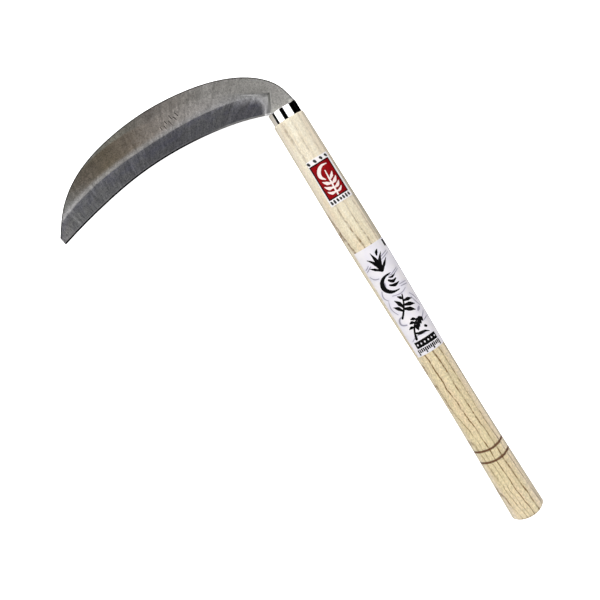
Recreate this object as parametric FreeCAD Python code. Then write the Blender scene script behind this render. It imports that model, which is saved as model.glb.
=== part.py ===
import FreeCAD, Part
import math
import os

# Hand sickle (kama): a thin single-bevel steel blade whose tang is held in an oval ash handle
# by a pressed ferrule, a cross pin and a wooden wedge.  Millimetres.
# Row frame: origin at the centre of the handle's butt face, +X along the handle to the ferrule,
# +Y to the blade's tip, +Z up out of the bevelled side.  The sickle lies on its flat back.

Vec = FreeCAD.Vector

# ---------------------------------------------------------------- driving dimensions

# Handle: an oval that narrows to a waist, swells, and narrows again to the shoulder.
SHOULDER_X = 378.0
HANDLE_STATIONS = [  # distance from the butt, width, thickness
    (0.0, 29.2, 23.0),
    (62.0, 26.8, 21.8),
    (132.0, 25.6, 21.2),
    (190.0, 27.2, 22.2),
    (250.0, 28.9, 23.0),
    (315.0, 28.2, 22.9),
    (SHOULDER_X, 27.0, 22.7),
]
BUTT_ROUND = 2.6
SHOULDER_CHAMFER = 0.7

# Two burned rings near the butt.
RING_X = [58.2, 68.6]
RING_WIDTH = 1.0
RING_DEPTH = 0.35

# Ferrule: a short oval sleeve over the handle's spigot.
FERRULE_LENGTH = 10.0
FERRULE_WIDTH = 25.0
FERRULE_THICKNESS = 20.8
FERRULE_WALL = 0.9
FERRULE_LIP = 0.45
MOUTH_X = SHOULDER_X + FERRULE_LENGTH
SPIGOT_RECESS = 0.6

# Blade, drawn flat: X as in the row frame, Y along the blade, Z up from its flat back.
CANT_DEG = 2.6  # the blade leans down so that its tip meets the ground with the handle
EDGE_CURVE = [(388.3, 10.7), (399.8, 53.1), (403.8, 100.0), (401.4, 138.0), (395.7, 170.5), (387.1, 205.8)]
SPINE_CURVE = [(MOUTH_X, -12.0), (404.4, -7.3), (419.1, 5.1), (432.5, 29.2), (441.3, 65.0), (443.5, 96.0),
               (440.6, 130.5), (429.9, 167.1), (413.7, 190.8), (393.7, 206.8)]
RIDGE_CURVE = [(402.5, 9.0), (412.0, 29.0), (417.2, 58.6), (419.0, 100.0), (417.0, 142.8), (407.8, 187.3),
               (393.0, 222.0)]
STEP_CURVE = [(403.4, 2.7), (413.0, 19.0), (428.2, 57.0), (435.3, 100.0), (436.4, 130.0), (433.0, 158.0),
              (420.0, 196.0)]
NECK_THICKNESS = 3.6
TIP_THICKNESS = 1.4
EDGE_THICKNESS = 0.25
SPINE_CHAMFER = 0.45
RIDGE_DROP = (0.75, 0.0)  # ridge below the flat body, at the heel and at the tip
HOLLOW_DEPTH = (0.55, 0.20)  # hollow below the line from ridge to step, at the heel and at the tip
BEVEL_START_Y = 13.5
BLADE_REACH = EDGE_CURVE[-1][1]

# Tang, in the same flat drawing.
TANG_LENGTH = 86.0
TANG_ROOT_WIDTH = 12.6
TANG_END_WIDTH = 7.2
TANG_POINT = 5.0
TANG_THICKNESS = 3.0

# Cross pin through handle and tang, 56 mm behind the ferrule's mouth.
PIN_X = MOUTH_X - 56.0
PIN_DIAMETER = 3.2
PIN_LENGTH = 22.2

# Hardwood wedge driven in behind the tang's back.
WEDGE_LENGTH = 36.0
WEDGE_WIDTH = 8.6
WEDGE_HEAD = 1.9
WEDGE_POINT = 0.5

# Labels pasted on the upper side, as corners in plan, and how low each wraps.
LABEL_THICKNESS = 0.15
MAKER_LABEL = [(299.8, 8.2), (340.3, 7.3), (340.3, -11.6), (299.8, -11.6)]
MAKER_LABEL_LOW = 0.0
SIZE_LABEL = [(159.6, 11.6), (258.4, 12.2), (258.4, -20.0), (159.6, -20.0)]
SIZE_LABEL_LOW = -4.0

SPARE = 20.0  # how far a cutting tool runs past the material


# ---------------------------------------------------------------- shapes shared by several pieces

def oval(x, width, thickness):
    """A closed oval outline across the handle's axis."""
    ellipse = Part.Ellipse(Vec(x, width / 2, 0), Vec(x, 0, thickness / 2), Vec(x, 0, 0))
    return Part.Wire([ellipse.toShape()])


def oval_prism(x, length, width, thickness):
    return Part.Face(oval(x, width, thickness)).extrude(Vec(length, 0, 0))


def handle_form(extra=0.0):
    """The handle's smooth outer form, or one that stands proud of it by extra."""
    outlines = [oval(x, width + 2 * extra, thickness + 2 * extra) for x, width, thickness in HANDLE_STATIONS]
    return Part.makeLoft(outlines, True, False)


def prism(corners, low, height):
    """An upright prism over a polygon in plan."""
    points = [Vec(x, y, low) for x, y in corners]
    return Part.Face(Part.makePolygon(points + points[:1])).extrude(Vec(0, 0, height))


def curve_through(points):
    spline = Part.BSplineCurve()
    spline.interpolate([Vec(x, y, 0) for x, y in points])
    return spline


def place_blade(shape):
    """Move a shape from the flat drawing to the row frame: centred on the axis, then canted."""
    shape.translate(Vec(0, 0, -NECK_THICKNESS / 2))
    shape.rotate(Vec(0, 0, 0), Vec(1, 0, 0), -CANT_DEG)
    return shape


# ---------------------------------------------------------------- blade and tang

def body_top(y):
    """Height of the blade's flat upper face above its back."""
    return NECK_THICKNESS - (NECK_THICKNESS - TIP_THICKNESS) * y / BLADE_REACH


def taper(pair, y):
    """A value that runs evenly from the heel to the tip."""
    share = min(max(y / BLADE_REACH, 0.0), 1.0)
    return pair[0] + (pair[1] - pair[0]) * share


def ridge_top(y):
    return body_top(y) - taper(RIDGE_DROP, y)


def points_along(spline, count):
    first, last = spline.FirstParameter, spline.LastParameter
    return [spline.value(first + (last - first) * i / (count - 1)) for i in range(count)]


def everything_above(grid):
    """The space above a smooth surface through a grid of points."""
    surface = Part.BSplineSurface()
    surface.interpolate(grid)
    return surface.toShape().extrude(Vec(0, 0, SPARE))


def bevel_cutter():
    """The space above the bevel, which falls from the ridge to the edge."""
    reach = EDGE_CURVE[-1]
    edge_line = curve_through(EDGE_CURVE + [(reach[0] - 4.6, reach[1] + 16.0)])
    ridge_line = curve_through(RIDGE_CURVE)
    grid = []
    for edge, ridge in zip(points_along(edge_line, 12), points_along(ridge_line, 12)):
        row = []
        for share in (-0.12, 0.35, 0.75, 1.15):
            place = edge + (ridge - edge) * share
            height = EDGE_THICKNESS + (ridge_top(ridge.y) - EDGE_THICKNESS) * share
            row.append(Vec(place.x, place.y, height))
        grid.append(row)
    start = Part.makeBox(200, 200, 2 * SPARE, Vec(300, BEVEL_START_Y - 200, -SPARE))
    return everything_above(grid).cut(start)


def hollow_cutter():
    """The space above the ground hollow between the ridge and the step of the flat body."""
    grid = []
    ridge_points = points_along(curve_through([(390.4, 9.4)] + RIDGE_CURVE[1:]), 12)
    step_points = points_along(curve_through(STEP_CURVE), 12)
    for ridge, step in zip(ridge_points, step_points):
        row = []
        for share in (-0.15, 0.2, 0.5, 0.8, 1.0):
            place = ridge + (step - ridge) * share
            height = ridge_top(ridge.y) + (body_top(step.y) - 0.3 - ridge_top(ridge.y)) * share
            height -= 4 * share * (1 - share) * taper(HOLLOW_DEPTH, place.y)
            row.append(Vec(place.x, place.y, height))
        grid.append(row)
    return everything_above(grid)


def blade_blank():
    """The forged outline with its tapered flat top, before grinding."""
    edge_line = curve_through(EDGE_CURVE)
    spine_line = curve_through(SPINE_CURVE)
    heel, toe = Vec(*EDGE_CURVE[0], 0), Vec(*EDGE_CURVE[-1], 0)
    neck, corner = Vec(*SPINE_CURVE[0], 0), Vec(*SPINE_CURVE[-1], 0)
    base = Vec(MOUTH_X, EDGE_CURVE[0][1], 0)
    sides = [edge_line.toShape(), Part.makeLine(toe, corner), spine_line.toShape(),
             Part.makeLine(neck, base), Part.makeLine(base, heel)]
    outline = Part.Face(Part.Wire(Part.__sortEdges__(sides)))
    blank = outline.extrude(Vec(0, 0, NECK_THICKNESS + 1))
    slope = math.degrees(math.atan2(NECK_THICKNESS - TIP_THICKNESS, BLADE_REACH))
    waste = Part.makeBox(400, 400, SPARE, Vec(200, -100, NECK_THICKNESS))
    waste.rotate(Vec(0, 0, NECK_THICKNESS), Vec(1, 0, 0), -slope)
    return blank.cut(waste)


def tang():
    """The tapered spike that the handle is driven onto, drawn flat like the blade."""
    end = MOUTH_X - TANG_LENGTH
    half_root, half_end = TANG_ROOT_WIDTH / 2, TANG_END_WIDTH / 2
    corners = [(MOUTH_X, -half_root), (MOUTH_X, half_root), (end + TANG_POINT, half_end), (end, half_end / 3),
               (end, -half_end / 3), (end + TANG_POINT, -half_end)]
    return prism(corners, (NECK_THICKNESS - TANG_THICKNESS) / 2, TANG_THICKNESS)


def pin_hole():
    return Part.makeCylinder(PIN_DIAMETER / 2, 2 * SPARE, Vec(PIN_X, 0, -SPARE))


def make_blade():
    ground = blade_blank().cut(hollow_cutter()).cut(bevel_cutter())
    blade = place_blade(ground.fuse(tang()).removeSplitter())
    return blade.cut(pin_hole())


# ---------------------------------------------------------------- wedge, pin, ferrule

def make_wedge():
    """A thin wooden wedge against the tang's back, flush with the end of the spigot."""
    face = (NECK_THICKNESS - TANG_THICKNESS) / 2
    head_x = MOUTH_X - SPIGOT_RECESS
    point_x = head_x - WEDGE_LENGTH
    profile = [Vec(point_x, -WEDGE_WIDTH / 2, face), Vec(head_x, -WEDGE_WIDTH / 2, face),
               Vec(head_x, -WEDGE_WIDTH / 2, face - WEDGE_HEAD), Vec(point_x, -WEDGE_WIDTH / 2, face - WEDGE_POINT)]
    wedge = Part.Face(Part.makePolygon(profile + profile[:1])).extrude(Vec(0, WEDGE_WIDTH, 0))
    return place_blade(wedge)


def make_pin():
    return Part.makeCylinder(PIN_DIAMETER / 2, PIN_LENGTH, Vec(PIN_X, 0, -PIN_LENGTH / 2))


def make_ferrule():
    """A seamless oval sleeve with a softened lip at its mouth."""
    sleeve = oval_prism(SHOULDER_X, FERRULE_LENGTH, FERRULE_WIDTH, FERRULE_THICKNESS)
    lip = [edge for edge in sleeve.Edges if edge.BoundBox.XMin > MOUTH_X - 0.1]
    sleeve = sleeve.makeFillet(FERRULE_LIP, lip)
    inside = oval_prism(SHOULDER_X, FERRULE_LENGTH, FERRULE_WIDTH - 2 * FERRULE_WALL,
                        FERRULE_THICKNESS - 2 * FERRULE_WALL)
    return sleeve.cut(inside)


# ---------------------------------------------------------------- handle

def ring_groove(x):
    """The space of one burned ring: a shallow square groove round the handle."""
    outline = handle_form(-RING_DEPTH)
    band = Part.makeBox(RING_WIDTH, 3 * SPARE, 3 * SPARE, Vec(x - RING_WIDTH / 2, -1.5 * SPARE, -1.5 * SPARE))
    return band.cut(outline)


def make_handle():
    """The ash handle: form, rounded butt, spigot under the ferrule, mortise, pin hole and rings."""
    wood = handle_form()
    butt_rim = [edge for edge in wood.Edges if edge.BoundBox.XMax < 0.1]
    wood = wood.makeFillet(BUTT_ROUND, butt_rim)
    shoulder_rim = [edge for edge in wood.Edges if edge.BoundBox.XMin > SHOULDER_X - 0.1]
    wood = wood.makeChamfer(SHOULDER_CHAMFER, shoulder_rim)
    spigot = oval_prism(SHOULDER_X, FERRULE_LENGTH - SPIGOT_RECESS, FERRULE_WIDTH - 2 * FERRULE_WALL,
                        FERRULE_THICKNESS - 2 * FERRULE_WALL)
    wood = wood.fuse(spigot)
    for space in [place_blade(tang()), make_wedge(), pin_hole()] + [ring_groove(x) for x in RING_X]:
        wood = wood.cut(space)
    return wood


# ---------------------------------------------------------------- labels

def make_label(corners, low):
    """A paper skin on the handle's surface, over the given corners and above the given height."""
    sheet = handle_form(LABEL_THICKNESS).cut(handle_form())
    return sheet.common(prism(corners, low, 2 * SPARE))


# ---------------------------------------------------------------- export

def main():
    pieces = {
        "blade": make_blade(),
        "ferrule": make_ferrule(),
        "handle": make_handle(),
        "tang_pin": make_pin(),
        "tang_wedge": make_wedge(),
        "maker_label": make_label(MAKER_LABEL, MAKER_LABEL_LOW),
        "size_label": make_label(SIZE_LABEL, SIZE_LABEL_LOW),
    }
    os.makedirs("parts", exist_ok=True)
    for node, shape in pieces.items():
        solids = shape.Solids
        print(node, "solids", len(solids), "valid", shape.isValid(), "volume", round(shape.Volume, 1),
              "box", [round(v, 1) for v in (shape.BoundBox.XMin, shape.BoundBox.XMax, shape.BoundBox.YMin,
                                            shape.BoundBox.YMax, shape.BoundBox.ZMin, shape.BoundBox.ZMax)])
        body = solids[0] if len(solids) == 1 else Part.makeCompound(solids)
        body.exportStep(os.path.join("parts", node + ".step"))


main()
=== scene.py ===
import math
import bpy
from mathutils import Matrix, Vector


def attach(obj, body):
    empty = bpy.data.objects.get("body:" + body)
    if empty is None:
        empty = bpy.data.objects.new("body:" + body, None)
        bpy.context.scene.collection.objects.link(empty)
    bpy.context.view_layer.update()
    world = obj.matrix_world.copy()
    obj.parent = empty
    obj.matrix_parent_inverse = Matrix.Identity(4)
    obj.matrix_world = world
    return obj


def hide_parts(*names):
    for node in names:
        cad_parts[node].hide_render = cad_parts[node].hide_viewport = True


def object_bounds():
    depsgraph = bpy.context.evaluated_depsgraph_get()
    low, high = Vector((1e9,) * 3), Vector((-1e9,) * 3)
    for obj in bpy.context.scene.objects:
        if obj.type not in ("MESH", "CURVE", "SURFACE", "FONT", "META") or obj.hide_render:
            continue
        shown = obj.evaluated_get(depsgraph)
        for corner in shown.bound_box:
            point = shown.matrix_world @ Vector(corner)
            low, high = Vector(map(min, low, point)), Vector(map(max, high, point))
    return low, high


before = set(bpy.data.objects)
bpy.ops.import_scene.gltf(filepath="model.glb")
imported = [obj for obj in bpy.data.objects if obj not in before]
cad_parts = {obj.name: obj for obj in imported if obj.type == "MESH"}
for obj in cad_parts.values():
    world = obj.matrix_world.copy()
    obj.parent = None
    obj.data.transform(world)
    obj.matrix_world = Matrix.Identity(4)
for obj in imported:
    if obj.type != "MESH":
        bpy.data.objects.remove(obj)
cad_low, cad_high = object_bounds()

from types import SimpleNamespace

import bmesh
import bpy
import numpy as np
from mathutils import Matrix, Vector

# Hand sickle.  Lengths are in millimetres in the tables below and turned into metres when a mesh is made.
# Row frame: origin at the middle of the butt face, +X along the handle to the ferrule, +Y to the
# blade's tip, +Z up out of the bevelled side.
MM = 0.001

# ---------------------------------------------------------------- sizes, as in the CAD model
SHOULDER_X = 378.0
MOUTH_X = 388.0
HANDLE_STATIONS = np.array([  # distance from the butt, width, thickness
    (0.0, 29.2, 23.0), (62.0, 26.8, 21.8), (132.0, 25.6, 21.2), (190.0, 27.2, 22.2),
    (250.0, 28.9, 23.0), (315.0, 28.2, 22.9), (378.0, 27.0, 22.7)])
BUTT_ROUND = 2.6
SHOULDER_CHAMFER = 0.7
RING_X = (58.2, 68.6)
RING_BOW = 2.4  # how far the rings curve towards the butt on the broad faces
BUTT_SIDE_ROUND = 2.6  # extra rounding of the butt's narrow sides
FERRULE_HALF = (12.5, 10.4)
FERRULE_WALL = 0.9
FERRULE_LIP = 0.45
SPIGOT_RECESS = 0.6

CANT = math.radians(2.6)
NECK_THICKNESS = 3.6
TIP_THICKNESS = 1.4
EDGE_THICKNESS = 0.25
BLADE_REACH = 205.8
RIDGE_DROP = 0.75
EDGE_CURVE = [(388.3, 10.7), (392.9, 23.7), (399.8, 53.1), (402.6, 75.5), (403.8, 100.0), (402.4, 129.8),
              (397.4, 162.2), (389.6, 196.6), (387.1, 205.8)]
SPINE_CURVE = [(388.0, -12.0), (404.4, -7.3), (419.1, 5.1), (432.5, 29.2), (441.3, 65.0), (443.5, 96.0),
               (440.6, 130.5), (429.9, 167.1), (413.7, 190.8), (393.7, 206.8)]
RIDGE_LINE = [(402.5, 9.0), (411.3, 26.1), (416.2, 50.4), (418.6, 75.0), (419.0, 104.0), (417.0, 143.0),
              (411.6, 174.0), (404.5, 196.5), (396.0, 216.0)]
BEVEL_OUTLINE = [(382.4, 18.6), (386.8, 15.2), (392.8, 11.5), (399.0, 9.2), (405.6, 12.0),
                 (411.5, 25.2)] + RIDGE_LINE[2:]
STEP_HEEL = [(380.0, 14.6), (390.4, 9.4), (397.0, 5.9), (403.4, 2.7)]
STEP_LINE = [(403.4, 2.7), (411.0, 16.4), (420.4, 32.2), (426.0, 48.8), (430.3, 65.9), (434.5, 92.5),
             (436.6, 115.0), (435.7, 139.1), (432.0, 160.0), (420.0, 196.0), (408.0, 216.0)]

TANG_LENGTH = 86.0
TANG_HALF = (6.3, 3.6)
TANG_POINT = 5.0
TANG_THICKNESS = 3.0
TANG_BOTTOM = (NECK_THICKNESS - TANG_THICKNESS) / 2
PIN_X = 332.0
PIN_DIAMETER = 3.2
PIN_LENGTH = 22.2
WEDGE_LENGTH = 36.0
WEDGE_WIDTH = 8.6
WEDGE_HEAD = 1.9
WEDGE_POINT = 0.5
LABEL_THICKNESS = 0.15
MAKER_LABEL = ((299.8, -11.6, 8.2), (340.3, -11.6, 7.3))  # x, y of both long sides, at either end
SIZE_LABEL = ((159.6, -20.0, 11.6), (258.4, -20.0, 12.2))
SIZE_LABEL_LOW = -4.0


# ---------------------------------------------------------------- curves and distances
class Curve:
    """A natural cubic curve through points in plan, by chord length."""

    def __init__(self, points):
        self.points = np.asarray(points, float)
        steps = np.linalg.norm(np.diff(self.points[:, :2], axis=0), axis=1)
        self.knots = np.concatenate([[0.0], np.cumsum(steps)])
        count = len(self.points)
        matrix = np.eye(count)
        right = np.zeros_like(self.points)
        for i in range(1, count - 1):
            before, after = steps[i - 1], steps[i]
            matrix[i, i - 1:i + 2] = before, 2 * (before + after), after
            low, here, high = self.points[i - 1:i + 2]
            right[i] = 6 * ((high - here) / after - (here - low) / before)
        self.bend = np.linalg.solve(matrix, right)

    def at(self, places):
        places = np.clip(np.asarray(places, float), 0.0, self.knots[-1])
        i = np.clip(np.searchsorted(self.knots, places, "right") - 1, 0, len(self.knots) - 2)
        span = (self.knots[i + 1] - self.knots[i])[:, None]
        b = (places - self.knots[i])[:, None] / span
        a = 1 - b
        return (a * self.points[i] + b * self.points[i + 1]
                + ((a ** 3 - a) * self.bend[i] + (b ** 3 - b) * self.bend[i + 1]) * span ** 2 / 6)

    def line(self, count):
        return self.at(np.linspace(0.0, self.knots[-1], count))

    def even(self, shares):
        """Points at the given shares of the curve's length."""
        fine = self.line(1500)
        length = np.concatenate([[0.0], np.cumsum(np.linalg.norm(np.diff(fine, axis=0), axis=1))])
        wanted = np.asarray(shares) * length[-1]
        return np.stack([np.interp(wanted, length, fine[:, k]) for k in range(fine.shape[1])], axis=1)


def distance_to(points, line, wide=None):
    """Distance from each point to a polyline, or to the rim of a stroke with these widths along it."""
    wide = np.zeros(len(line)) if wide is None else wide
    best = np.full(len(points), 1e9)
    for a, b, start, end in zip(line[:-1], line[1:], wide[:-1], wide[1:]):
        along = b - a
        share = np.clip(((points - a) @ along) / max(along @ along, 1e-12), 0.0, 1.0)
        gap = points - (a + share[:, None] * along)
        far = np.sqrt(np.einsum("ij,ij->i", gap, gap))
        best = np.minimum(best, far - (start + (end - start) * share) / 2)
    return best


def inside(points, loop):
    """Which points lie inside a closed polygon."""
    x, y = points[:, 0], points[:, 1]
    result = np.zeros(len(points), bool)
    for (ax, ay), (bx, by) in zip(loop, np.roll(loop, -1, axis=0)):
        if ay != by:
            crosses = (ay > y) != (by > y)
            result ^= crosses & (x < (bx - ax) * (y - ay) / (by - ay) + ax)
    return result


def smooth(low, high, value):
    share = np.clip((value - low) / (high - low), 0.0, 1.0)
    return share * share * (3 - 2 * share)


def ripple(seed, u, v, wavelength, count=10):
    """A smooth uneven field from about -1 to 1, the same each run."""
    dice = np.random.default_rng(seed)
    field = np.zeros_like(u)
    for _ in range(count):
        angle = dice.uniform(0, math.tau)
        reach = wavelength * dice.uniform(0.7, 1.6)
        wave = (u * math.cos(angle) + v * math.sin(angle)) * math.tau / reach
        field += np.sin(wave + dice.uniform(0, math.tau))
    return field / math.sqrt(count) / 1.4


# ---------------------------------------------------------------- meshes
def make_piece(name, points, faces, node=None, slot=None, shade=True, vectors=None):
    """A mesh object from points in millimetres; with a slot it rides on the one body."""
    mesh = bpy.data.meshes.new(name)
    mesh.from_pydata((np.asarray(points) * MM).tolist(), [], faces)
    mesh.validate()
    if len(faces) > 1:
        solid = bmesh.new()
        solid.from_mesh(mesh)
        bmesh.ops.recalc_face_normals(solid, faces=solid.faces)
        solid.to_mesh(mesh)
        solid.free()
    if shade:
        mesh.shade_smooth()
    for key, values in (vectors or {}).items():
        layer = mesh.attributes.new(key, "FLOAT_VECTOR", "POINT")
        layer.data.foreach_set("vector", np.asarray(values, np.float32).ravel())
    piece = bpy.data.objects.new(name, mesh)
    bpy.context.scene.collection.objects.link(piece)
    if slot:
        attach(piece, "root")
    if node:
        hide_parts(node)
    return piece


def tube_faces(rows, around, capped=True):
    """Quads between closed loops of points, and a face over each end."""
    faces = []
    for i in range(rows - 1):
        for j in range(around):
            k = (j + 1) % around
            a, b = i * around, (i + 1) * around
            faces.append((a + j, a + k, b + k, b + j))
    if capped:
        last = (rows - 1) * around
        faces += [tuple(range(around))[::-1], tuple(range(last, last + around))]
    return faces


def slab_faces(rows, across):
    """Quads over a grid of upper points and the same grid of lower points, and walls round the rim."""
    size = rows * across
    faces = []
    for i in range(rows - 1):
        for j in range(across - 1):
            a, b = i * across + j, (i + 1) * across + j
            faces.append((a, a + 1, b + 1, b))
            faces.append((size + b, size + b + 1, size + a + 1, size + a))
    rim = [i * across for i in range(rows)] + list(range(size - across + 1, size))
    rim += [i * across - 1 for i in range(rows - 1, 0, -1)] + list(range(across - 2, 0, -1))
    faces += [(a, b, size + b, size + a) for a, b in zip(rim, rim[1:] + rim[:1])]
    return faces


def oval_loops(profile, around):
    """Loops across the handle's axis from rows of x, half width and half thickness."""
    angle = np.linspace(0, math.tau, around, endpoint=False)
    loops = [np.stack([np.full(around, x), half_y * np.sin(angle), half_z * np.cos(angle)], axis=1)
             for x, half_y, half_z in profile]
    return np.concatenate(loops)


def quarter(radius, count):
    """Points of a rounded rim: how far from the end, and how far in from the side."""
    turn = np.linspace(0, math.pi / 2, count)
    return [(radius * (1 - math.cos(a)), radius * (1 - math.sin(a))) for a in turn]


def cut_with(piece, cutters):
    """Cut closed solids out of a piece, then drop the cutters."""
    for cutter in cutters:
        cut = piece.modifiers.new("cut", "BOOLEAN")
        cut.operation = "DIFFERENCE"
        cut.solver = "EXACT"
        cut.object = cutter
    graph = bpy.context.evaluated_depsgraph_get()
    mesh = bpy.data.meshes.new_from_object(piece.evaluated_get(graph))
    piece.modifiers.clear()
    old, piece.data = piece.data, mesh
    bpy.data.meshes.remove(old)
    for cutter in cutters:
        bpy.data.meshes.remove(cutter.data)


def sharpen(piece, degrees):
    """Keep edges that turn by more than this sharp, the rest smooth."""
    piece.data.set_sharp_from_angle(angle=math.radians(degrees))
    return piece


# ---------------------------------------------------------------- node trees
class Signal:
    """A node's output, which can be added, multiplied and so on."""

    def __init__(self, net, socket):
        self.net, self.socket = net, socket

    def __rsub__(self, other):
        return self.net.math("SUBTRACT", other, self)


for sign, operation in (("add", "ADD"), ("sub", "SUBTRACT"), ("mul", "MULTIPLY"), ("truediv", "DIVIDE"),
                        ("abs", "ABSOLUTE")):
    setattr(Signal, f"__{sign}__", lambda self, *other, kind=operation: self.net.math(kind, self, *other))


class Net:
    """A node tree built with short calls, each of which gives a Signal."""

    def __init__(self, tree):
        self.tree = tree

    def feed(self, socket, value):
        if isinstance(value, Signal):
            self.tree.links.new(value.socket, socket)
        else:
            socket.default_value = value

    def node(self, kind, output, inputs=None, **settings):
        made = self.tree.nodes.new("ShaderNode" + kind)
        for key, value in settings.items():
            setattr(made, key, value)
        for key, value in (inputs or {}).items():
            self.feed(made.inputs[key], value)
        return Signal(self, made.outputs[output])

    def math(self, operation, *values):
        return self.node("Math", 0, dict(enumerate(values)), operation=operation)

    def step(self, low, high, value, out_low=0.0, out_high=1.0):
        """A soft step from out_low where the value is low to out_high where it is high."""
        return self.map_range(value, low, high, out_low, out_high, "SMOOTHSTEP")

    def map_range(self, value, low, high, out_low=0.0, out_high=1.0, kind="LINEAR"):
        return self.node("MapRange", "Result", {0: value, 1: low, 2: high, 3: out_low, 4: out_high},
                         interpolation_type=kind)

    def fall(self, low, high, value):
        return self.step(low, high, value, 1.0, 0.0)

    def mix(self, share, one, two):
        return self.node("Mix", 2, {"Factor": share, 6: one, 7: two}, data_type="RGBA")

    def coat(self, colour, *coats):
        """A colour under coats; each is how much it covers, and its red, green and blue."""
        for cover, *over in coats:
            colour = self.mix(cover, colour, rgb(*over))
        return colour

    def ramp(self, value, stops, steady=False):
        """A colour for each value from 0 to 1, between stops, or held from each stop to the next."""
        made = self.node("ValToRGB", 0, {0: value})
        ramp = made.socket.node.color_ramp
        ramp.elements[0].position = stops[0][0]
        ramp.elements[-1].position = stops[-1][0]
        for position, _ in stops[1:-1]:
            ramp.elements.new(position)
        for element, (_, colour) in zip(ramp.elements, stops):
            element.color = colour
        if steady:
            ramp.interpolation = "CONSTANT"
        return made

    def vector(self, operation, one, two):
        return self.node("VectorMath", 0, {0: one, 1: two}, operation=operation)

    def noise(self, vector, scale, detail=2.0, rough=0.5):
        """Noise with one scale for all directions, or with one for each."""
        if isinstance(scale, tuple):
            vector, scale = self.vector("MULTIPLY", vector, scale), 1.0
        return self.node("TexNoise", "Fac", {"Vector": vector, "Scale": scale, "Detail": detail,
                                             "Roughness": rough})

    def split(self, vector):
        """A vector and its three parts."""
        first = self.node("SeparateXYZ", 0, {0: vector})
        return [vector] + [Signal(self, socket) for socket in first.socket.node.outputs]

    def part(self, name):
        """A mesh attribute and its three channels."""
        return self.split(self.node("Attribute", "Vector", attribute_name=name))

    def place(self):
        """The piece's own coordinates in millimetres, whole and split."""
        return self.split(self.vector("MULTIPLY", self.node("TexCoord", "Object"), (1000.0, 1000.0, 1000.0)))

    def bump(self, height, distance, strength=1.0, under=None):
        inputs = {"Height": height, "Strength": strength, "Distance": distance * MM}
        if under is not None:
            inputs["Normal"] = under
        return self.node("Bump", 0, inputs)


class Paint(Net):
    """The node tree of a new material."""

    def __init__(self, name):
        self.material = bpy.data.materials.new(name)
        self.material.use_nodes = True
        super().__init__(self.material.node_tree)

    def finish(self, **sockets):
        shader = self.tree.nodes["Principled BSDF"]
        for key, value in sockets.items():
            self.feed(shader.inputs[key.replace("_", " ")], value)
        return self.material


def grey(value):
    return value, value, value, 1.0


def rgb(red, green, blue):
    """A colour as it looks on a screen, 0 to 255, as the linear colour that a node wants."""
    def linear(value):
        value /= 255
        return value / 12.92 if value <= 0.04045 else ((value + 0.055) / 1.055) ** 2.4
    return linear(red), linear(green), linear(blue), 1.0


def tones(*rows):
    """Ramp stops from rows of place, red, green and blue."""
    return [(place, rgb(*colour)) for place, *colour in rows]


# ---------------------------------------------------------------- camera
IMAGE_SIDE = 600
CAMERA_TARGET = Vector((249.75, 68.45, 0.0)) * MM
CAMERA_DISTANCE = 960.0 * MM
CAMERA_LEAN = math.radians(4.3)
CAMERA_ROLL = math.radians(31.80)
SCALE_AT_TARGET = 0.8075 * MM


def make_camera():
    back = Vector((math.sin(CAMERA_LEAN), 0.0, math.cos(CAMERA_LEAN)))
    up = Vector((math.cos(CAMERA_ROLL), -math.sin(CAMERA_ROLL), 0.0))
    up = (up - back * up.dot(back)).normalized()
    right = up.cross(back)
    data = bpy.data.cameras.new("camera")
    data.lens = CAMERA_DISTANCE / SCALE_AT_TARGET * data.sensor_width / IMAGE_SIDE
    camera = bpy.data.objects.new("camera", data)
    turn = Matrix((right, up, back)).transposed().to_4x4()
    camera.matrix_world = Matrix.Translation(CAMERA_TARGET + back * CAMERA_DISTANCE) @ turn
    bpy.context.scene.collection.objects.link(camera)
    bpy.context.scene.camera = camera


# ---------------------------------------------------------------- studio
FLOOR_HALF = 6000.0
FLOOR_GAP = 0.02
FLOOR_LIFT = 1.0
LIGHT = 2.35
# Direction round the handle's axis, in degrees from straight up towards +Y, and how bright it is there.
STUDIO_BANDS = [(-180, 0.6), (-93, 0.6), (-91, 0.0), (-51, 0.0), (-47, 1.0), (-9, 1.0), (-4, 0.0), (20, 0.0),
                (24, 1.0), (62, 1.0), (65, 0.0), (86, 0.0), (89, 0.5), (180, 0.5)]
STUDIO_FALL = ((-0.30, 0.30), (0.30, 1.35))  # direction along X, brightness there


def make_floor():
    """A pale floor just under the sickle, plain white to the camera."""
    low = cad_low.z / MM - FLOOR_GAP
    corners = [(x * FLOOR_HALF, y * FLOOR_HALF, low) for x, y in ((-1, -1), (1, -1), (1, 1), (-1, 1))]
    floor = make_piece("floor", corners, [(0, 1, 2, 3)], shade=False)
    paint = Paint("studio_floor")
    seen = paint.node("LightPath", "Is Camera Ray")
    floor.data.materials.append(paint.finish(
        Base_Color=grey(0.8), Roughness=0.9, Specular_IOR_Level=0.1, Emission_Color=grey(1.0),
        Emission_Strength=seen * FLOOR_LIFT))


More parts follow.
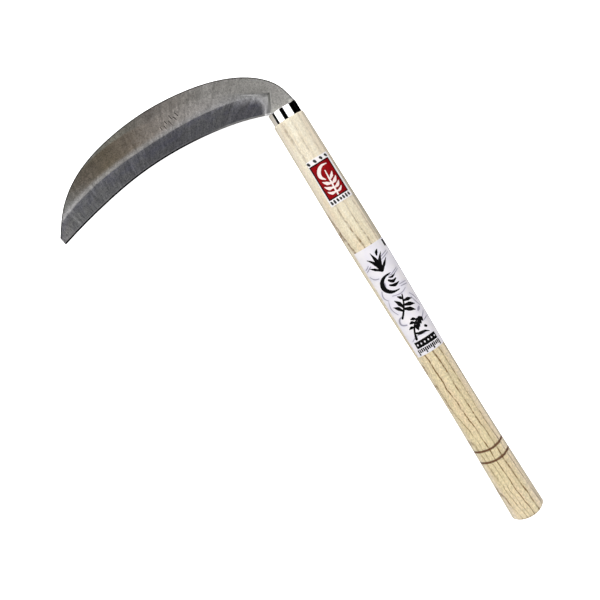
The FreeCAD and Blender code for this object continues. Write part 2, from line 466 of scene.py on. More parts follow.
def make_studio():
    """Soft light from bands round the handle's axis, behind a plain white backdrop."""
    world = bpy.data.worlds.new("studio")
    world.use_nodes = True
    sky = Net(world.node_tree)
    _, x, y, z = sky.split(sky.node("TexCoord", "Generated"))
    turn = sky.map_range(sky.math("ARCTAN2", y, z), -math.pi, math.pi)
    bands = sky.ramp(turn, [((degrees + 180) / 360, grey(bright)) for degrees, bright in STUDIO_BANDS])
    (low, dim), (high, full) = STUDIO_FALL
    along = sky.map_range(x, low, high, dim * LIGHT, full * LIGHT)
    white = grey(1.0)
    lit = sky.node("Background", 0, {"Color": white, "Strength": bands * along})
    plain = sky.node("Background", 0, {"Color": white, "Strength": 1.0})
    shown = sky.node("MixShader", 0, {0: sky.node("LightPath", "Is Camera Ray"), 1: lit, 2: plain})
    sky.tree.nodes.remove(sky.tree.nodes["Background"])
    sky.feed(sky.tree.nodes["World Output"].inputs["Surface"], shown)
    bpy.context.scene.world = world
    bpy.context.scene.view_settings.view_transform = "Standard"


# ---------------------------------------------------------------- blade
ROWS_PLAIN = 410
ACROSS = 106  # points across between the close ones at edge and spine
RIM_SHARES = np.array([0.0, 0.004, 0.009, 0.014, 0.0185])
STEP_WALL = 0.35
STEP_HEIGHT = 0.22
HOLLOW_SLOPES = (-0.085, 0.055)  # where the ground hollow leaves the ridge, and where it meets the step
BEHIND_EDGE, BEYOND_TIP = 300.0, 230.0
MICRO_BEVEL = 0.7
SPINE_ROUND = 0.45
NICK_DEPTH = 0.12
# Short chisel nicks near the hollow's middle, as x and y of both ends.
NICKS = [((426.5, 73.6), (429.3, 74.6)), ((424.6, 76.3), (427.6, 77.4)), ((427.4, 79.3), (430.2, 80.0)),
         ((423.0, 81.4), (426.8, 82.2)), ((425.9, 84.6), (428.3, 85.2)), ((422.4, 87.0), (425.4, 87.5)),
         ((423.4, 90.2), (425.6, 90.5))]


def body_top(y):
    return NECK_THICKNESS - (NECK_THICKNESS - TIP_THICKNESS) * y / BLADE_REACH


def place_blade(points):
    """From the blade's flat drawing to the row frame: centred on the axis, then canted."""
    x, y, z = points[:, 0], points[:, 1], points[:, 2] - NECK_THICKNESS / 2
    cos, sin = math.cos(CANT), math.sin(CANT)
    return np.stack([x, y * cos + z * sin, z * cos - y * sin], axis=1)


def signed_distance(plan, line, far_y):
    """Distance to a line from heel to tip, negative on the side of the handle."""
    loop = np.concatenate([line, [(BEHIND_EDGE, BEYOND_TIP), (BEHIND_EDGE, far_y)]])
    return np.where(inside(plan, loop), -1.0, 1.0) * distance_to(plan, line)


def hollow_ground(ridge, brow, body, out, into, wall):
    """The ground hollow from ridge to step, lowest near the ridge, and the flat body beyond the step."""
    span = np.maximum(out, 0.0) + np.maximum(into, 0.0) + 1e-6
    u = np.clip(np.maximum(out, 0.0) / span, 0.0, 1.0)
    fall, rise = [slope * span for slope in HOLLOW_SLOPES]
    ground = ((2 * u ** 3 - 3 * u ** 2 + 1) * ridge + (u ** 3 - 2 * u ** 2 + u) * fall
              + (3 * u ** 2 - 2 * u ** 3) * brow + (u ** 3 - u ** 2) * rise)
    return ground + (body - ground) * smooth(-wall, wall, -into)


def blade_heights(plan, across, to_edge, to_spine):
    """Height of the upper face over the flat back, and the distances out of the bevel and into the hollow."""
    x, y = plan.T
    top = body_top(y)
    ridge = top - RIDGE_DROP * (1 - np.clip(y / BLADE_REACH, 0.0, 1.0))
    out = signed_distance(plan, Curve(BEVEL_OUTLINE).line(130), 20.5)
    into = -signed_distance(plan, np.concatenate([STEP_HEEL[:-1], Curve(STEP_LINE).line(120)]), 14.6)

    # bevel: a plane from edge to ridge, whose width is measured square to the edge
    width = np.repeat(distance_to(plan[::across], Curve(RIDGE_LINE).line(90)), across)
    bevel = EDGE_THICKNESS + (ridge - EDGE_THICKNESS) * to_edge / width

    # the step is high at the heel and dies away to the tip, and its wall is steepest at the heel
    brow = top - STEP_HEIGHT * (1 - smooth(10.0, 110.0, y)) * (1 - 0.85 * smooth(401.5, 404.5, x))
    body = top + 0.02 * ripple(3, x, y, 26.0)
    wall = STEP_WALL * (1 + 2.2 * smooth(401.5, 405.0, x) + 6.0 * smooth(12.0, 70.0, y))
    ground = hollow_ground(ridge, brow, body, out, into, wall)

    # the two faces meet in a softly rounded ridge, and the bevel ends in a scooped plunge at the heel
    soft = 0.30 + 0.5 * smooth(44.0, 20.0, y)
    near = np.clip(soft - np.abs(bevel - ground), 0.0, None) / soft
    lower = np.minimum(bevel, ground) - near ** 2 * soft / 4
    scoop = smooth(396.5, 402.5, x)
    plunge = smooth(-1.2 - 2.2 * scoop, 3.4 + 0.4 * scoop, out) * smooth(40.0, 18.0, y)
    height = lower + (ground - lower) * plunge

    # secondary edge, and rounding of the spine and of the neck's other side
    neck = smooth(15.5, 12.5, y)
    height = np.minimum(height, 0.06 + (EDGE_THICKNESS + 0.08) * to_edge / MICRO_BEVEL + 50 * neck)
    for reach, amount in ((to_spine, 1.0), (to_edge, neck)):
        gap = np.clip(SPINE_ROUND - reach, 0.0, SPINE_ROUND)
        height = height - amount * (SPINE_ROUND - np.sqrt(np.maximum(SPINE_ROUND ** 2 - gap ** 2, 0.0)))
    return height, out, into


def make_blade():
    closer = np.linspace(0.30, 0.46, 70)  # rows round the nicks
    shares = np.unique(np.concatenate([np.linspace(0, 1, ROWS_PLAIN), closer, [0.002, 0.998]]))
    edge, spine = Curve(EDGE_CURVE), Curve(SPINE_CURVE)
    near, far = edge.even(shares), spine.even(shares)
    inner = np.linspace(0.0, 1.0, ACROSS)[1:-1]
    across = np.concatenate([RIM_SHARES, 0.026 + inner * 0.95, 1 - RIM_SHARES[::-1] * 0.7])
    count = len(across)
    plan = (near[:, None] + (far - near)[:, None] * across[None, :, None]).reshape(-1, 2)
    to_edge = distance_to(plan, edge.line(260))
    to_spine = distance_to(plan, spine.line(260))
    to_edge[0::count] = 0.0
    to_spine[count - 1::count] = 0.0
    height, out, into = blade_heights(plan, count, to_edge, to_spine)

    nick = np.full(len(plan), 9.0)
    for ends in NICKS:
        nick = np.minimum(nick, distance_to(plan, np.array(ends)))
    height -= NICK_DEPTH * (1 - smooth(0.15, 0.6, nick))

    low_rim = np.clip(0.2 - to_spine, 0.0, 0.2) * 0.8
    upper, lower = [np.concatenate([plan, z[:, None]], axis=1) for z in (height, low_rim)]
    where = np.stack([np.repeat(shares * BLADE_REACH, count), to_edge, to_spine], axis=1)
    zone = np.stack([out, into, nick], axis=1)
    back = np.tile([9.0, -9.0, 9.0], (len(plan), 1))
    vectors = {"where": np.concatenate([where, where]), "zone": np.concatenate([zone, back])}
    points = place_blade(np.concatenate([upper, lower]))
    return sharpen(make_piece("blade_forging", points, slab_faces(len(shares), count), "blade", "blade_steel",
                              vectors=vectors), 32)


def make_tang():
    """The tapered spike inside the handle, part of the same forging."""
    end = MOUTH_X - TANG_LENGTH
    ease = 0.4
    stations = [(MOUTH_X, TANG_HALF[0], 0.0), (end + TANG_POINT, TANG_HALF[1], 0.0),
                (end, TANG_HALF[1] / 3, 0.35)]
    points = []
    for x, half, thin in stations:
        low, high = TANG_BOTTOM + thin, TANG_BOTTOM + TANG_THICKNESS - thin
        section = [(half, low + ease), (half, high - ease), (half - ease, high), (ease - half, high),
                   (-half, high - ease), (-half, low + ease), (ease - half, low), (half - ease, low)]
        points += [(x, y, z) for y, z in section]
    tang = make_piece("tang", place_blade(np.array(points)), tube_faces(len(stations), 8), slot="blade_steel",
                      shade=False)
    cut_with(tang, [pin_hole()])
    return tang


def box_cutter(name, x_range, half_y, z_range):
    corners = [(x, y, z) for x in x_range for y in (-half_y, half_y) for z in z_range]
    faces = [(0, 1, 3, 2), (4, 6, 7, 5), (0, 4, 5, 1), (2, 3, 7, 6), (0, 2, 6, 4), (1, 5, 7, 3)]
    return make_piece(name, place_blade(np.array(corners)), faces, shade=False)


def round_bar(name, profile, around=48, **more):
    """A turned bar along Z at the pin's place, from rows of height and radius."""
    angle = np.linspace(0, math.tau, around, endpoint=False)
    points = [np.stack([PIN_X + r * np.cos(angle), r * np.sin(angle), np.full(around, z)], axis=1)
              for z, r in profile]
    return make_piece(name, np.concatenate(points), tube_faces(len(profile), around), **more)


def pin_hole():
    radius = PIN_DIAMETER / 2 + 0.03
    return round_bar("hole", [(-20, radius), (20, radius)])


# ---------------------------------------------------------------- handle
HANDLE_AROUND = 160
HANDLE_PITCH = 0.9
HANDLE_HALF = (14.6, 11.5)
SLOT_SLACK = 0.12
# One burned groove across: distance from its middle, and depth.
GROOVE = ((-0.55, 0.0), (-0.47, 0.1), (-0.38, 0.27), (-0.2, 0.35), (0.0, 0.32), (0.2, 0.35), (0.38, 0.27),
          (0.47, 0.1), (0.55, 0.0))
GROOVE_CLEAR = 0.95


def handle_half(x):
    """Half width and half thickness of the handle's smooth form at each x."""
    sizes = np.stack([Curve(HANDLE_STATIONS[:, (0, k)]).at(x)[:, 1] for k in (1, 2)], axis=1)
    return sizes / 2


def handle_profile():
    """Rows of x, half width and half thickness from butt to spigot end, grooves and rims included."""
    places = quarter(BUTT_ROUND, 11)
    for x in np.arange(BUTT_ROUND + 1.0, SHOULDER_X - SHOULDER_CHAMFER - 0.5, HANDLE_PITCH):
        if min(abs(x - ring) for ring in RING_X) > GROOVE_CLEAR:
            places.append((x, 0.0))
    places += [(ring + offset, depth) for ring in RING_X for offset, depth in GROOVE]
    places.sort()
    x, inset = np.array(places).T
    rows = [(a, b, c) for a, (b, c) in zip(x, handle_half(x) - inset[:, None])]
    b, c = handle_half(np.array([SHOULDER_X]))[0]
    cut = SHOULDER_CHAMFER
    rows += [(SHOULDER_X - cut, b, c), (SHOULDER_X - cut * 0.8, b - cut * 0.12, c - cut * 0.12),
             (SHOULDER_X - cut * 0.2, b - cut * 0.85, c - cut * 0.85), (SHOULDER_X, b - cut, c - cut)]
    spigot = [half - FERRULE_WALL for half in FERRULE_HALF]
    end = MOUTH_X - SPIGOT_RECESS
    rows += [(SHOULDER_X, *spigot), (SHOULDER_X + 4.5, *spigot), (end - 0.3, *spigot),
             (end, spigot[0] - 0.3, spigot[1] - 0.3)]
    return rows


def make_handle():
    rows = handle_profile()
    shares = (0.02, 0.2, 0.4, 0.6, 0.8, 0.93)
    front, back = [[(x, b * share, c * share) for share in shares] for x, b, c in (rows[0], rows[-1])]
    profile = front + rows + back[::-1]
    points = oval_loops(profile, HANDLE_AROUND)
    broad = np.tile(np.cos(np.linspace(0, math.tau, HANDLE_AROUND, endpoint=False)) ** 2, len(profile))
    x = points[:, 0].copy()
    middle = sum(RING_X) / 2
    points[:, 0] -= RING_BOW * broad * smooth(34.0, 8.0, np.abs(x - middle))
    off_axis = np.hypot(points[:, 1] / HANDLE_HALF[0], points[:, 2] / HANDLE_HALF[1])
    points[:, 0] += BUTT_SIDE_ROUND * (1 - broad) * smooth(9.0, 0.0, x) * smooth(0.55, 0.98, off_axis)
    handle = make_piece("handle_ash", points, tube_faces(len(profile), HANDLE_AROUND), "handle", "handle_ash")
    slot = box_cutter("slot", (MOUTH_X - TANG_LENGTH - 1, MOUTH_X + 2), TANG_HALF[0] + SLOT_SLACK,
                      (TANG_BOTTOM - SLOT_SLACK, TANG_BOTTOM + TANG_THICKNESS + SLOT_SLACK))
    wedge_low = TANG_BOTTOM - WEDGE_HEAD - SLOT_SLACK
    wedge_slot = box_cutter("wedge_slot", (MOUTH_X - WEDGE_LENGTH - 1, MOUTH_X + 2),
                            WEDGE_WIDTH / 2 + SLOT_SLACK, (wedge_low, TANG_BOTTOM + 0.5))
    cut_with(handle, [slot, wedge_slot, pin_hole()])
    return sharpen(handle, 38)


# ---------------------------------------------------------------- small parts
FERRULE_AROUND = 288


def make_ferrule():
    wall, lip = FERRULE_WALL, FERRULE_LIP
    outer = [(SHOULDER_X, 0.12), (SHOULDER_X + 0.04, 0.05), (SHOULDER_X + 0.14, 0.0)]
    outer += [(x, 0.0) for x in np.linspace(SHOULDER_X + 0.6, MOUTH_X - lip - 0.3, 12)]
    outer += [(MOUTH_X - depth, inset) for depth, inset in quarter(lip, 7)[::-1]]
    inner = [(MOUTH_X - 0.1, wall - 0.15), (MOUTH_X - 0.25, wall - 0.03), (MOUTH_X - 0.5, wall),
             (SHOULDER_X + 0.5, wall), (SHOULDER_X, wall)]
    profile = [(x, FERRULE_HALF[0] - inset, FERRULE_HALF[1] - inset) for x, inset in outer + inner]
    points = oval_loops(profile, FERRULE_AROUND)
    faces = [tuple(corner % len(points) for corner in face)
             for face in tube_faces(len(profile) + 1, FERRULE_AROUND, capped=False)]
    return sharpen(make_piece("ferrule_sleeve", points, faces, "ferrule", "ferrule_steel"), 40)


def make_wedge():
    """The wooden wedge against the tang's back, its crushed head just proud of the spigot."""
    face = TANG_BOTTOM
    head = MOUTH_X - SPIGOT_RECESS + 0.25
    half = WEDGE_WIDTH / 2
    points = []
    rows = 8
    for i in range(rows):
        share = i / (rows - 1)
        x = head - WEDGE_LENGTH * share
        thick = WEDGE_HEAD + (WEDGE_POINT - WEDGE_HEAD) * share
        crush = 0.25 if i == 0 else 0.1
        section = [(half - crush, face - 0.02), (crush - half, face - 0.02), (-half, face - crush),
                   (-half, face - thick + crush), (crush - half, face - thick), (half - crush, face - thick),
                   (half, face - thick + crush), (half, face - crush)]
        points += [(x, y, z) for y, z in section]
    return make_piece("tang_wedge_wood", place_blade(np.array(points)), tube_faces(rows, 8), "tang_wedge",
                      "wedge_wood", shade=False)


def make_pin():
    half, radius = PIN_LENGTH / 2, PIN_DIAMETER / 2
    dome = [(0.0, radius), (0.18, radius - 0.08), (0.28, radius - 0.3), (0.33, radius * 0.5), (0.35, 0.1)]
    profile = [(-half + 0.35 - d, r) for d, r in dome[::-1]] + [(half - 0.35 + d, r) for d, r in dome]
    return round_bar("pin_dowel", profile, node="tang_pin", slot="pin_steel")


# ---------------------------------------------------------------- labels
LABEL_PITCH = 0.3
FAR = 99.0  # a distance with no ink near


def label_sheet(corners, low=None):
    """A paper skin wrapped on the handle, with its own flat coordinates in millimetres.

    Returns points, faces and, for each point of its upper face, the distance along the handle and
    round it from the crown, positive towards +Y."""
    (x0, right0, left0), (x1, right1, left1) = corners
    rows = int((x1 - x0) / LABEL_PITCH) + 1
    x = np.linspace(x0, x1, rows)
    half = handle_half(x)
    share = (x - x0) / (x1 - x0)
    left = np.arcsin((left0 + (left1 - left0) * share) / half[:, 0])
    if low is None:
        right = np.arcsin((right0 + (right1 - right0) * share) / half[:, 0])
    else:
        right = -np.arccos(low / half[:, 1])
    reach = np.abs(left - right).mean() * half.mean()
    count = int(reach / LABEL_PITCH) + 1
    angle = right[:, None] + (left - right)[:, None] * np.linspace(0, 1, count)[None]
    arc = np.zeros_like(angle)
    fine = np.linspace(-2.4, 2.4, 400)
    for i in range(rows):
        speed = np.hypot(half[i, 0] * np.cos(fine), half[i, 1] * np.sin(fine))
        run = np.cumsum(speed) * (fine[1] - fine[0])
        arc[i] = np.interp(angle[i], fine, run - np.interp(0.0, fine, run))

    def layer(lift):
        return np.stack([np.repeat(x, count), ((half[:, :1] + lift) * np.sin(angle)).ravel(),
                         ((half[:, 1:] + lift) * np.cos(angle)).ravel()], axis=1)

    points = np.concatenate([layer(LABEL_THICKNESS), layer(0.01)])
    return points, slab_faces(rows, count), np.stack([np.repeat(x, count), arc.ravel()], axis=1)


def printed(name, sheet, node, slot, *fields):
    """A label's mesh, with the signed distances to what is printed on its upper face."""
    points, faces, _ = sheet
    tint = np.stack(fields, axis=1)
    return make_piece(name, points, faces, node, slot,
                      vectors={"print": np.concatenate([tint, np.full_like(tint, 9.0)])})


def brush(flat, points, widths):
    """Signed distance to one brush stroke through points, negative inside."""
    line = Curve(points).line(18)
    wide = np.interp(np.linspace(0, 1, len(line)), np.linspace(0, 1, len(widths)), widths)
    return distance_to(flat, line, wide)


def strokes(flat, centre, scale, drawing, bold=1.0):
    """The union of strokes drawn about a centre; each is points right and up, and widths."""
    best = np.full(len(flat), FAR)
    near = np.linalg.norm(flat - np.array(centre), axis=1) < 1.9 * scale + 2
    for points, widths in drawing:
        placed = [(centre[0] + up * scale, centre[1] - right * scale) for right, up in points]
        best[near] = np.minimum(best[near], brush(flat[near], placed, [width * bold for width in widths]))
    return best


def bar(flat, x_range, y_range):
    """Signed distance to a rectangle along the handle (x) and round it (y)."""
    middle = np.array([sum(x_range) / 2, sum(y_range) / 2])
    half = np.array([(x_range[1] - x_range[0]) / 2, (y_range[1] - y_range[0]) / 2])
    gap = np.abs(flat - middle) - half
    outside = np.linalg.norm(np.maximum(gap, 0.0), axis=1)
    return outside + np.minimum(gap.max(axis=1), 0.0)


# Plant drawings: right and up in units of the figure's half height, then widths in millimetres.
GRASS = [
    ([(-0.05, -0.95), (-0.2, -0.2), (-0.75, 0.55)], (1.3, 1.9, 0.3)),
    ([(0.0, -0.95), (0.0, 0.0), (-0.15, 0.95)], (1.4, 2.1, 0.3)),
    ([(0.05, -0.95), (0.25, -0.1), (0.8, 0.6)], (1.3, 1.9, 0.3)),
    ([(0.1, -0.9), (0.5, -0.5), (0.95, -0.1)], (1.0, 1.4, 0.3)),
    ([(-0.1, -0.9), (-0.55, -0.55), (-0.95, -0.25)], (1.0, 1.4, 0.3)),
    ([(0.3, 0.55), (0.42, 0.8), (0.62, 0.98)], (0.9, 1.5, 0.4)),
]
CRESCENT = [
    ([(0.55, 0.9), (-0.35, 0.75), (-0.8, 0.0), (-0.4, -0.7), (0.5, -0.9)], (0.4, 1.6, 2.6, 1.8, 0.4)),
    ([(0.05, 0.35), (0.35, 0.1), (0.75, 0.2)], (1.2, 1.8, 0.5)),
    ([(-0.1, -0.1), (0.25, -0.3), (0.85, -0.25)], (0.9, 1.7, 0.4)),
    ([(0.2, 0.6), (0.5, 0.5), (0.9, 0.62)], (0.6, 1.2, 0.3)),
]
BAMBOO = [
    ([(-0.75, -0.95), (-0.1, -0.1), (0.35, 0.95)], (1.1, 0.9, 0.7)),
    ([(-0.35, -0.4), (-0.6, 0.0), (-0.95, 0.3)], (0.9, 2.0, 0.3)),
    ([(-0.15, -0.15), (-0.3, 0.35), (-0.55, 0.8)], (0.8, 2.2, 0.3)),
    ([(-0.2, -0.25), (0.25, -0.5), (0.7, -0.85)], (0.9, 2.3, 0.3)),
    ([(0.0, 0.05), (0.45, -0.1), (0.95, -0.35)], (0.9, 2.2, 0.3)),
    ([(0.15, 0.4), (0.55, 0.35), (0.98, 0.2)], (0.8, 1.9, 0.3)),
    ([(0.2, 0.55), (0.05, 0.8), (-0.15, 1.0)], (0.6, 1.5, 0.3)),
]
EAR = [
    ([(-0.7, -1.0), (-0.45, -0.2), (0.0, 0.45), (0.6, 0.8)], (1.3, 1.0, 0.9, 0.5)),
    ([(0.6, 0.75), (0.78, 0.5), (0.8, 0.25)], (1.2, 2.1, 0.5)),
    ([(0.35, 0.7), (0.5, 0.4), (0.5, 0.12)], (1.1, 2.1, 0.5)),
    ([(0.1, 0.5), (0.22, 0.2), (0.2, -0.08)], (1.1, 2.1, 0.5)),
    ([(-0.12, 0.28), (-0.02, -0.02), (-0.06, -0.3)], (1.0, 2.0, 0.5)),
    ([(0.25, 0.72), (0.05, 0.9), (-0.2, 0.95)], (0.8, 1.7, 0.4)),
    ([(-0.02, 0.5), (-0.25, 0.65), (-0.5, 0.62)], (0.8, 1.7, 0.4)),
    ([(-0.3, 0.12), (-0.55, 0.22), (-0.8, 0.15)], (0.8, 1.6, 0.4)),
    ([(-0.5, -0.4), (-0.15, -0.62), (0.4, -0.7), (0.85, -0.95)], (0.8, 1.7, 1.2, 0.3)),
    ([(0.75, -0.3), (0.83, -0.38)], (1.5, 1.2)),
]
FIGURES = [(244.2, 0.2, 8.7, GRASS), (223.5, 0.2, 8.3, CRESCENT), (202.7, -0.2, 9.0, BAMBOO),
           (182.2, -0.2, 8.3, EAR)]
# Faint line drawing behind the figures: points along and round, width.
FAINT = [
    ([(243.6, -3.2), (246.2, -12.8)], 0.6), ([(245.6, -3.0), (248.0, -12.5)], 0.6),
    ([(227.6, -3.6), (230.6, -12.4)], 0.6), ([(229.4, -4.2), (232.0, -12.0)], 0.6),
    ([(217.4, -6.4), (216.6, -13.0)], 0.6), ([(219.4, -6.2), (218.8, -13.2)], 0.5),
    ([(186.6, -7.6), (190.8, -13.0)], 0.8), ([(184.2, -8.0), (185.6, -13.2)], 0.6),
    ([(187.8, 6.4), (190.4, 10.6), (194.4, 9.2), (195.4, 5.6)], 1.5),
    ([(231.4, 6.0), (232.6, 9.6), (236.0, 12.2)], 0.8), ([(240.4, 11.8), (241.8, 9.0), (243.2, 6.6)], 0.8),
    ([(242.4, 12.0), (243.4, 9.6), (244.6, 8.0)], 0.7), ([(222.4, 6.6), (226.0, 4.4)], 3.0),
    ([(193.4, -8.2), (195.2, -10.8)], 2.2), ([(229.6, 3.5), (230.2, -2.0), (228.0, -6.0)], 0.6),
    ([(214.0, 4.0), (212.6, -4.0), (214.4, -9.0)], 0.6), ([(198.6, 8.0), (205.0, 10.8), (211.0, 9.4)], 0.6),
    ([(173.5, 9.5), (176.0, 4.0), (175.0, -3.0)], 0.6), ([(221.0, 9.8), (216.0, 11.4), (212.0, 8.8)], 0.8),
    ([(206.0, -9.0), (200.0, -11.0), (196.0, -13.0)], 0.6),
    ([(209.0, -9.5), (204.0, -12.6), (201.0, -13.4)], 0.6),
]


# The black bar and its lozenges, the ruler ticks, and a block at the far end: x along the handle, y round it.
BAR = ((166.2, 172.0), (-10.6, 9.3))
LOZENGE_X, LOZENGES_Y = 169.1, np.arange(6) * 3.25 - 8.9
LOZENGE_HALF = (1.05, 0.78)
TICK_X, TICKS_Y = 165.4, np.arange(13) * 1.66 - 10.2
TICK_LONG, TICK_SHORT, TICK_HALF = 5.0, 3.3, 0.6
BLOCK = ((251.2, 257.2), (-16.6, -13.6))
RULE_Y, RULE_HALF = -17.2, 0.12
FIGURE_BOLD = 1.6


def make_size_label():
    sheet = label_sheet(SIZE_LABEL, SIZE_LABEL_LOW)
    flat = sheet[2]
    along, arc = flat.T
    ink = bar(flat, *BAR)
    for y in LOZENGES_Y:
        lozenge = np.abs(along - LOZENGE_X) / LOZENGE_HALF[0] + np.abs(arc - y) / LOZENGE_HALF[1] - 1.0
        ink = np.maximum(ink, -lozenge)
    for x, y, scale, drawing in FIGURES:
        ink = np.minimum(ink, strokes(flat, (x, y), scale, drawing, FIGURE_BOLD))
    for k, y in enumerate(TICKS_Y):
        end = TICK_X - (TICK_SHORT if k % 4 else TICK_LONG)
        ink = np.minimum(ink, bar(flat, (end, TICK_X), (y - TICK_HALF, y + TICK_HALF)))
    ink = np.minimum(ink, bar(flat, *BLOCK))
    faint = np.abs(arc - RULE_Y) - RULE_HALF
    for line, width in FAINT:
        faint = np.minimum(faint, brush(flat, line, (width * 0.6, width, width * 0.5)))
    return printed("size_label_paper", sheet, "size_label", "white_label_paper", ink, faint,
                   np.zeros_like(ink))


EMBLEM = [
    ([(0.62, 1.45), (0.1, 1.5), (-0.45, 1.15), (-0.62, 0.55), (-0.3, 0.1)], (0.5, 1.6, 2.5, 2.2, 0.5)),
    ([(0.0, -1.75), (0.02, -0.6), (0.1, 0.9)], (1.1, 1.2, 0.7)),
    ([(0.06, -0.1), (0.4, 0.15), (0.66, 0.5)], (0.8, 2.2, 0.5)),
    ([(0.03, -0.55), (0.45, -0.4), (0.78, -0.05)], (0.8, 2.3, 0.5)),
    ([(0.0, -1.0), (0.42, -0.95), (0.8, -0.6)], (0.8, 2.2, 0.5)),
    ([(0.0, -0.5), (-0.4, -0.3), (-0.7, 0.0)], (0.8, 2.2, 0.5)),
    ([(0.0, -0.95), (-0.45, -0.85), (-0.8, -0.5)], (0.8, 2.3, 0.5)),
    ([(0.0, -1.4), (-0.42, -1.4), (-0.78, -1.1)], (0.8, 2.0, 0.5)),
    ([(0.02, -1.45), (0.4, -1.45), (0.74, -1.2)], (0.7, 1.8, 0.5)),
]
EMBLEM_PLACE, EMBLEM_SCALE, EMBLEM_BOLD = (320.4, -1.8), 8.0, 1.25
RED_FIELD = ((304.8, 335.8), (-11.1, 7.3))
# Black marks on the white strips towards the mouth and the butt: x, y of each, and widths at both ends.
MOUTH_MARKS = (337.9, (6.2, 0.5, -5.1, -10.3), (2.0, 2.3))
BUTT_MARKS = (302.5, (6.2, 3.5, 0.7, -2.0, -4.6, -7.3, -10.1), (1.9, 1.6))
BUTT_MARK_HALF = (0.8, 1.0, 0.7, 0.5)


def make_maker_label():
    sheet = label_sheet(MAKER_LABEL)
    flat = sheet[2]
    field = bar(flat, *RED_FIELD)
    emblem = strokes(flat, EMBLEM_PLACE, EMBLEM_SCALE, EMBLEM, EMBLEM_BOLD)
    dots = np.full(len(flat), FAR)
    x, places, widths = MOUTH_MARKS
    for y in places:
        dots = np.minimum(dots, brush(flat, [(x - 0.5, y - 0.3), (x + 0.5, y + 0.3)], widths))
    x, places, widths = BUTT_MARKS
    for k, y in enumerate(places):
        half = BUTT_MARK_HALF[k % 4]
        dots = np.minimum(dots, brush(flat, [(x - half, y), (x + half, y + 0.3)], widths))
    return printed("maker_label_paper", sheet, "maker_label", "red_label_paper", field, emblem, dots)


# ---------------------------------------------------------------- steel
# Tone of each ground surface from heel (0) to tip (1).
BODY_TONES = tones(
    (0.0, 224, 222, 216), (0.03, 198, 196, 192), (0.10, 174, 172, 168), (0.30, 169, 166, 162),
    (0.40, 157, 151, 145), (0.50, 137, 131, 126), (0.63, 144, 141, 130), (1.0, 144, 142, 136))
HOLLOW_TONES = tones(
    (0.0, 205, 204, 202), (0.15, 211, 210, 208), (0.32, 207, 202, 198), (0.49, 176, 167, 159),
    (0.58, 146, 135, 123), (0.68, 130, 120, 104), (0.78, 126, 118, 108), (0.88, 142, 141, 138),
    (1.0, 150, 149, 148))
# the ridge tones are a painted highlight along the ridge
RIDGE_HIGHLIGHT_TONES = tones(
    (0.0, 212, 211, 211), (0.15, 214, 213, 214), (0.21, 190, 189, 190), (0.30, 168, 167, 168),
    (0.45, 184, 182, 182), (0.70, 184, 182, 180), (1.0, 194, 193, 196))
BEVEL_TONES = tones(
    (0.0, 130, 130, 136), (0.12, 132, 131, 137), (0.24, 141, 141, 143), (0.39, 128, 128, 131),
    (0.58, 137, 137, 139), (0.78, 149, 149, 150), (0.90, 160, 160, 159), (0.98, 188, 186, 186))


def upper_steel(paint, at):
    """Flat body and ground hollow, with a painted highlight towards the ridge, and brown-hazed past the
    middle.
    """
    cloud = paint.noise(at.where, 0.045, 3.0)
    body = paint.ramp(at.share, BODY_TONES)
    body = paint.coat(body, (paint.step(0.4, 0.7, cloud, 0.0, 0.25), 140, 136, 132))
    patch = paint.noise(at.where, (0.05, 0.12, 0.0))
    aged = paint.step(0.4, 0.75, patch, 0.0, 0.3) * paint.step(0.35, 0.6, at.share)
    hollow = paint.coat(paint.ramp(at.share, HOLLOW_TONES), (aged, 118, 106, 88))
    # painted highlight: the hollow is painted lighter near the ridge
    ridge = paint.math("POWER", paint.fall(0.4, 6.5, at.out), 1.6)
    hollow = paint.mix(ridge * 0.85, hollow, paint.ramp(at.share, RIDGE_HIGHLIGHT_TONES))
    border = paint.step(22.0, 60.0, at.length, 0.0, 6.0) * paint.step(90.0, 125.0, at.length, 1.0, 0.15) + 1.0
    return paint.mix(paint.step(-0.5, 0.5, at.into / border), body, hollow)


def bevel_steel(paint, at, grind):
    """Coarsely ground cutting bevel, blued in patches, hazed white where it scoops out at the heel."""
    tint = paint.noise(at.where, (0.10, 0.16, 0.0))
    blue = paint.step(0.40, 0.70, tint, 0.0, 0.42) * paint.step(-12.0, -5.0, at.out, 0.25, 1.0)
    under = paint.step(-7.0, -1.5, at.out) * paint.step(0.25, 0.40, at.share, 0.0, 0.4)
    haze = paint.step(-8.0, 0.3, at.out / paint.step(10.0, 24.0, at.length, 0.6, 1.0))
    haze = haze * paint.step(27.0, 41.0, at.length, 0.95, 0.1)
    scratched = paint.step(0.40, 0.66, grind, 0.0, 0.45) * (1.0 - haze)
    return paint.coat(paint.ramp(at.share, BEVEL_TONES), (blue, 118, 118, 144), (under, 110, 110, 122),
                      (haze, 226, 225, 228), (scratched, 86, 86, 94))


def heel_marks(paint, at, plunge, colour):
    """Painted shade over the plunge where the bevel ends, a smudge at the hollow's end, and a painted
    highlight and a painted shadow along the step.
    """
    # painted shade over the plunge, darkening its highlight
    painted_dark = plunge * paint.step(9.0, 15.0, at.length, 0.84, 0.68)
    smudge = paint.step(-0.2, 1.0, at.into) * paint.fall(1.8, 3.4, at.into)
    smudge = smudge * paint.step(12.5, 15.0, at.length) * paint.fall(18.0, 28.0, at.length)
    # a thin painted highlight just outside the step
    lit = paint.step(0.15, 0.60, abs(at.into + 1.6), 0.25, 0.0) * paint.fall(16.0, 26.0, at.length)
    # a painted shadow along the step at the heel
    dark = paint.fall(0.55, 1.15, abs(at.into)) * paint.fall(402.4, 404.8, at.x)
    dark = dark * paint.step(4.0, 13.0, at.length, 0.45, 1.0)
    return paint.coat(colour, (painted_dark, 100, 99, 100), (smudge * 0.42, 112, 112, 111), (lit, 226, 225, 222),
                      (dark, 92, 92, 89))


